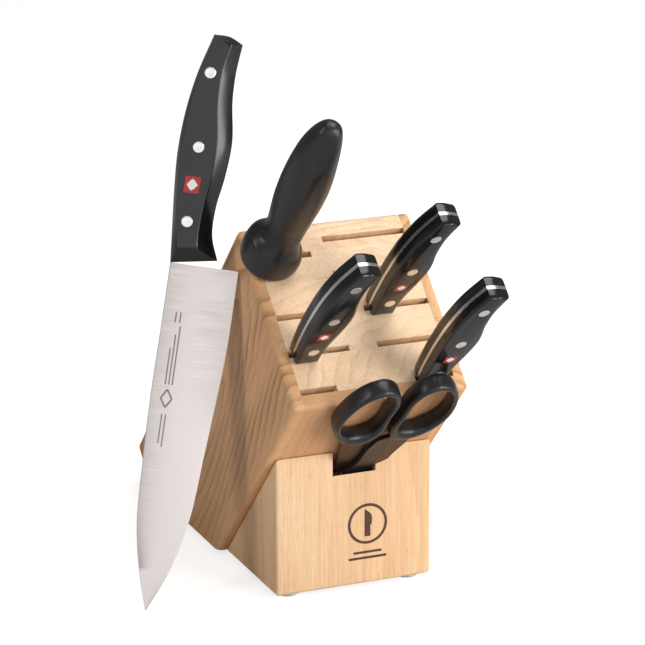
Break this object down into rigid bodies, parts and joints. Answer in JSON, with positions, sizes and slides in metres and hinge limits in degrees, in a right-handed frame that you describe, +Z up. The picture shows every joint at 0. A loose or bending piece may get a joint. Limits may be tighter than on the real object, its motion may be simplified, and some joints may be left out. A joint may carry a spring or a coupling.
{
  "type": "knife block with knives",
  "caption": "Slanted wooden knife block on a wedge base with full-tang knives, a honing steel and kitchen shears that slide out; a large knife leans on its side.",
  "frame": {"origin": "on the floor, under the middle of the bounding box of the whole set at rest", "axes": "+Z up, -Y towards the front of the base, +X to the right seen from the front"},
  "size_m": [0.1792, 0.3332, 0.3231],
  "materials": {
    "wood": "light rubberwood, fine sanded, thin satin oil",
    "handle_plastic": "polished black",
    "soft_plastic": "satin black",
    "blade_steel": "fine satin",
    "rivet_steel": "polished",
    "foot_rubber": "translucent grey"
  },
  "bodies": {
    "block": {"slab_left_cheek": "wood", "slab_right_cheek": "wood", "slab_back_board": "wood", "slab_board_2": "wood", "slab_board_3": "wood", "slab_board_4": "wood", "slab_board_5": "wood", "slab_board_6": "wood", "slab_front_board": "wood", "row_1_spacer": "wood", "row_2_spacer": "wood", "row_3_spacer": "wood", "row_4_spacer": "wood", "row_5_spacer": "wood", "row_6_spacer": "wood", "steel_channel_strip": "wood", "base_left_board": "wood", "base_centre_board": "wood", "base_right_board": "wood", "foot_front_left": "foot_rubber", "foot_rear_left": "foot_rubber", "foot_front_right": "foot_rubber", "foot_rear_right": "foot_rubber"},
    "chef_knife": {"chef_knife_blade": "blade_steel", "chef_knife_scale_front": "handle_plastic", "chef_knife_scale_rear": "handle_plastic", "chef_knife_rivet_1": "rivet_steel", "chef_knife_rivet_2": "rivet_steel", "chef_knife_rivet_3": "rivet_steel"},
    "prep_knife": {"prep_knife_blade": "blade_steel", "prep_knife_scale_front": "handle_plastic", "prep_knife_scale_rear": "handle_plastic", "prep_knife_rivet_1": "rivet_steel", "prep_knife_rivet_2": "rivet_steel", "prep_knife_rivet_3": "rivet_steel"},
    "utility_knife": {"utility_knife_blade": "blade_steel", "utility_knife_scale_front": "handle_plastic", "utility_knife_scale_rear": "handle_plastic", "utility_knife_rivet_1": "rivet_steel", "utility_knife_rivet_2": "rivet_steel", "utility_knife_rivet_3": "rivet_steel"},
    "paring_knife": {"paring_knife_blade": "blade_steel", "paring_knife_scale_front": "handle_plastic", "paring_knife_scale_rear": "handle_plastic", "paring_knife_rivet_1": "rivet_steel", "paring_knife_rivet_2": "rivet_steel", "paring_knife_rivet_3": "rivet_steel"},
    "honing_steel": {"honing_steel_handle": "soft_plastic", "honing_steel_rod": "blade_steel"},
    "shears_pivot": {"shears_pivot_screw": "rivet_steel", "shears_pivot_nut": "rivet_steel"},
    "shears_left": {"shears_left_blade": "blade_steel", "shears_left_loop": "soft_plastic"},
    "shears_right": {"shears_right_blade": "blade_steel", "shears_right_loop": "soft_plastic"}
  },
  "joints": [
    {"name": "prep_knife_slide", "type": "slide", "parent": "block", "child": "prep_knife", "axis": [0, -0.7009, 0.7133], "range_m": [0, 0.16]},
    {"name": "utility_knife_slide", "type": "slide", "parent": "block", "child": "utility_knife", "axis": [0, -0.7009, 0.7133], "range_m": [0, 0.15]},
    {"name": "paring_knife_slide", "type": "slide", "parent": "block", "child": "paring_knife", "axis": [0, -0.7009, 0.7133], "range_m": [0, 0.12]},
    {"name": "honing_steel_slide", "type": "slide", "parent": "block", "child": "honing_steel", "axis": [0, -0.7009, 0.7133], "range_m": [0, 0.24]},
    {"name": "shears_slide", "type": "slide", "parent": "block", "child": "shears_pivot", "axis": [0, -0.7009, 0.7133], "range_m": [0, 0.24]},
    {"name": "shears_left_turn", "type": "hinge", "parent": "shears_pivot", "child": "shears_left", "pos_m": [0.03794, -0.04386, 0.0623], "axis": [0, -0.7133, -0.7009], "range_deg": [0, 18]},
    {"name": "shears_right_turn", "type": "hinge", "parent": "shears_pivot", "child": "shears_right", "pos_m": [0.03794, -0.04386, 0.0623], "axis": [0, 0.7133, 0.7009], "range_deg": [0, 18]},
    {"name": "chef_knife_lift", "type": "slide", "parent": "block", "child": "chef_knife", "axis": [-0.5, 0, 0.866], "range_m": [0, 0.22]}
  ],
  "couplings": [
    {"joint": "shears_left_turn", "follows": "shears_slide", "rad_per_m": 1.3025},
    {"joint": "shears_right_turn", "follows": "shears_slide", "rad_per_m": 1.3025}
  ]
}
